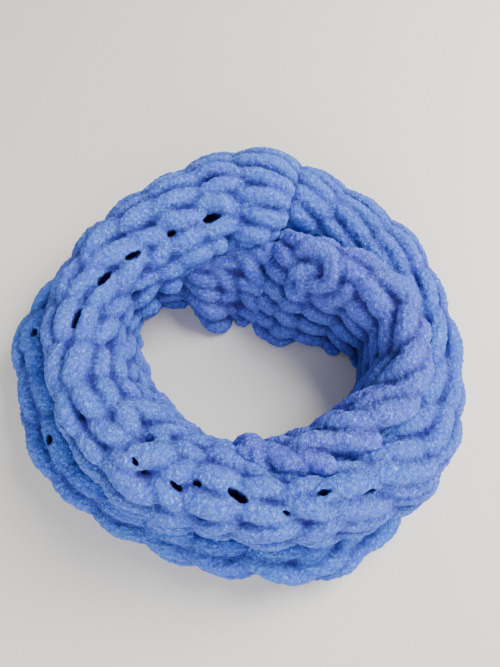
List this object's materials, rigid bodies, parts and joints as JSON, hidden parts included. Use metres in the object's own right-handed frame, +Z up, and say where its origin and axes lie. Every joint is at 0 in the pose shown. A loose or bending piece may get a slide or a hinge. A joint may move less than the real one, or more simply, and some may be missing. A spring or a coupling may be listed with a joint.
{
  "type": "neck warmer",
  "caption": "Chunky knitted ring of soft yarn, lying slouched on a table, with a neck hole through its middle.",
  "frame": {"origin": "middle of the garment's bounds, on the table it lies on", "axes": "+Z up, +Y towards the back of the ring as pictured, +X to its right"},
  "size_m": [0.3154, 0.3132, 0.0954],
  "materials": {
    "upper_yarn": "matt velvety pile",
    "inner_yarn": "matt velvety pile",
    "lower_yarn": "matt velvety pile",
    "hidden_yarn": "matt velvety pile"
  },
  "bodies": {
    "root": {"upper_layer": "upper_yarn", "inner_fold_back": "inner_yarn", "inner_fold_right": "inner_yarn", "lower_layer": "lower_yarn", "hidden_layers": "hidden_yarn"}
  },
  "joints": []
}
